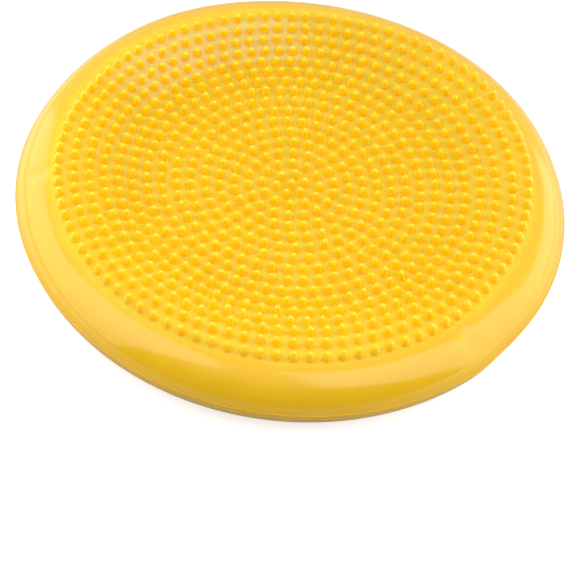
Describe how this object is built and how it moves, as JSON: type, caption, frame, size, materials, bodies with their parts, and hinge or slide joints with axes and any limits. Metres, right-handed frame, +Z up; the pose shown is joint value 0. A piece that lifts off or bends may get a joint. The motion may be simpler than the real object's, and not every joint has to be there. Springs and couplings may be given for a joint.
{
  "type": "wobble cushion",
  "caption": "Round air-filled balance disc with a dished, nubbed massage face, a plain round rim and a needle valve in the underside.",
  "frame": {"origin": "on the floor, under the middle of the disc", "axes": "+Z up along the disc's axis; +X and +Y are any two level directions, because the disc is round"},
  "size_m": [0.3316, 0.3316, 0.0465],
  "materials": {
    "face_pvc": "satin soft PVC",
    "rim_pvc": "glossy soft PVC",
    "bead_pvc": "welded PVC",
    "boot_pvc": "matt moulded PVC",
    "core_rubber": "matt rubber",
    "plug_plastic": "satin plastic"
  },
  "bodies": {
    "base": {"underside": "rim_pvc", "lower_wall": "rim_pvc", "valve_boot": "boot_pvc", "valve_core": "core_rubber"},
    "rim": {"weld_bead": "bead_pvc"},
    "face": {"massage_face": "face_pvc", "upper_wall": "rim_pvc"},
    "plug": {"valve_plug": "plug_plastic"}
  },
  "joints": [
    {"name": "tilt_front_back", "type": "hinge", "parent": "base", "child": "rim", "pos_m": [0, 0, 0.0205], "axis": [1, 0, 0], "range_deg": [-4, 4], "stiffness_Nm_per_rad": 200, "deforming": ["lower_wall"]},
    {"name": "tilt_side", "type": "hinge", "parent": "rim", "child": "face", "pos_m": [0, 0, 0.0205], "axis": [0, 1, 0], "range_deg": [-4, 4], "stiffness_Nm_per_rad": 200, "deforming": ["upper_wall"]},
    {"name": "plug_pull", "type": "slide", "parent": "base", "child": "plug", "axis": [0, 0, -1], "range_m": [0, 0.03]}
  ]
}
